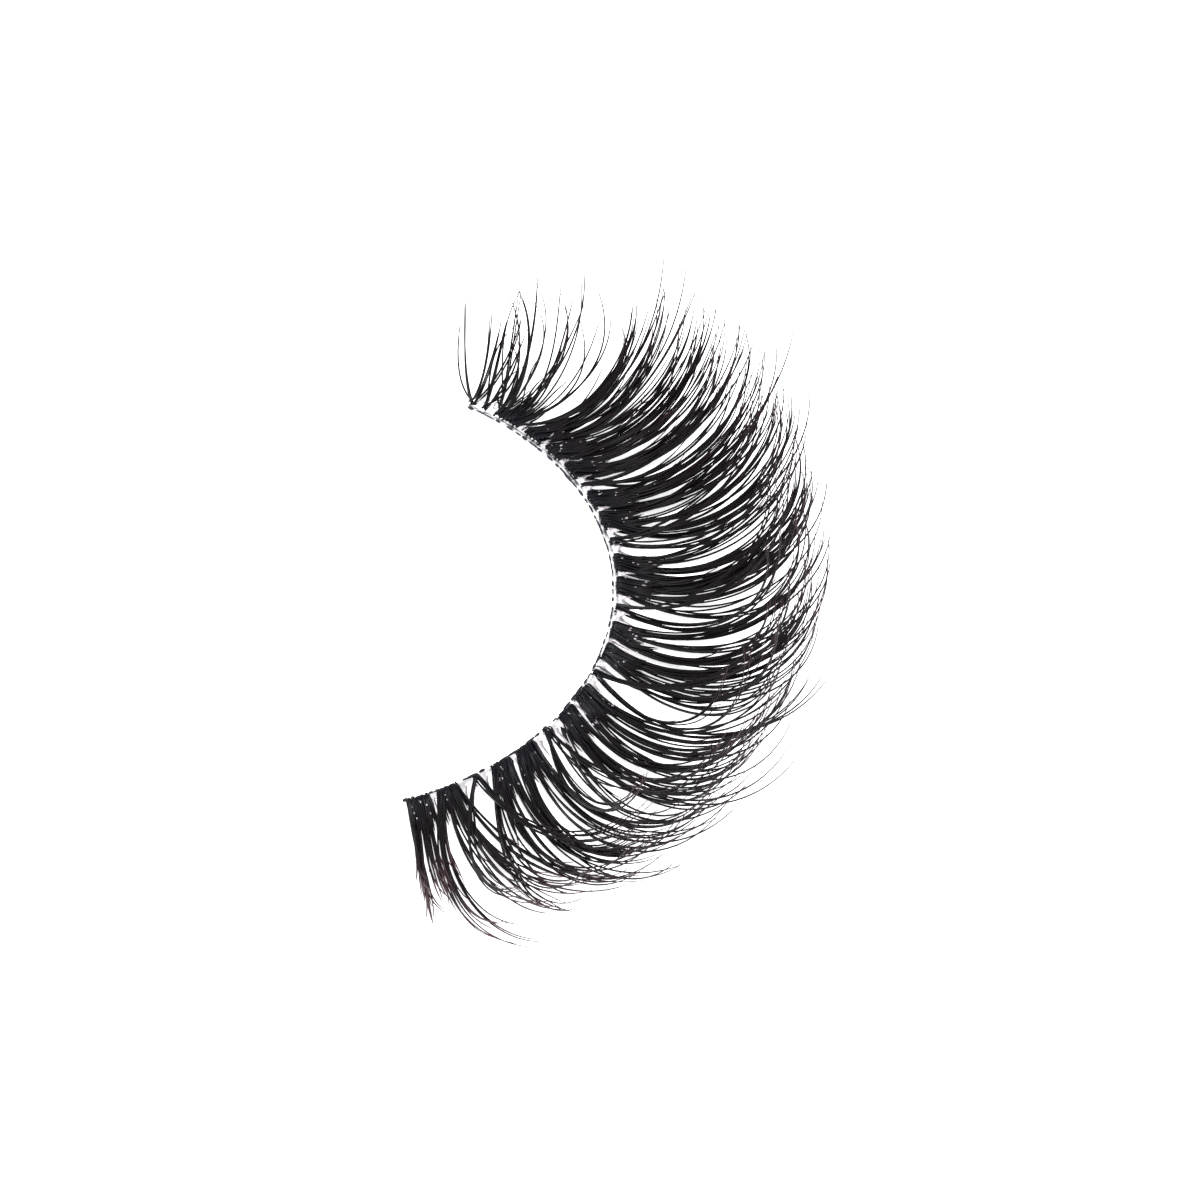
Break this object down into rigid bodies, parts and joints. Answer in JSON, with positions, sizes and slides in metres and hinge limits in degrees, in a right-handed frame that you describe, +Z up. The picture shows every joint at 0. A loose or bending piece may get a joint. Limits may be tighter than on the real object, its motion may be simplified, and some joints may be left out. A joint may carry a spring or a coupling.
{
  "type": "false eyelash strip",
  "caption": "Curved clear band with fanned clusters and narrow tufts of curled black lashes, shortest at the inner corner.",
  "frame": {"origin": "under the middle of the whole strip, on the surface that it rests on", "axes": "+X the way the band bulges and the lashes point, +Y toward the inner corner of the eye, +Z up, the way the lashes curl"},
  "size_m": [0.0194, 0.042, 0.0098],
  "materials": {
    "lash_fibre": "soft sheen on fine drawn fibre",
    "clear_film": "clear, slightly milky film"
  },
  "bodies": {
    "root": {"clear_band": "clear_film", "lash_cluster_01": "lash_fibre", "lash_cluster_02": "lash_fibre", "lash_cluster_03": "lash_fibre", "lash_cluster_04": "lash_fibre", "lash_cluster_05": "lash_fibre", "lash_cluster_06": "lash_fibre", "lash_cluster_07": "lash_fibre", "lash_cluster_08": "lash_fibre", "lash_cluster_09": "lash_fibre", "lash_cluster_10": "lash_fibre", "lash_cluster_11": "lash_fibre", "lash_cluster_12": "lash_fibre", "lash_cluster_13": "lash_fibre", "lash_cluster_14": "lash_fibre", "lash_cluster_15": "lash_fibre", "lash_cluster_16": "lash_fibre", "lash_tuft_01": "lash_fibre", "lash_tuft_02": "lash_fibre", "lash_tuft_03": "lash_fibre", "lash_tuft_04": "lash_fibre", "lash_tuft_05": "lash_fibre", "lash_tuft_06": "lash_fibre", "lash_tuft_07": "lash_fibre", "inner_corner_wisps": "lash_fibre"}
  },
  "joints": []
}
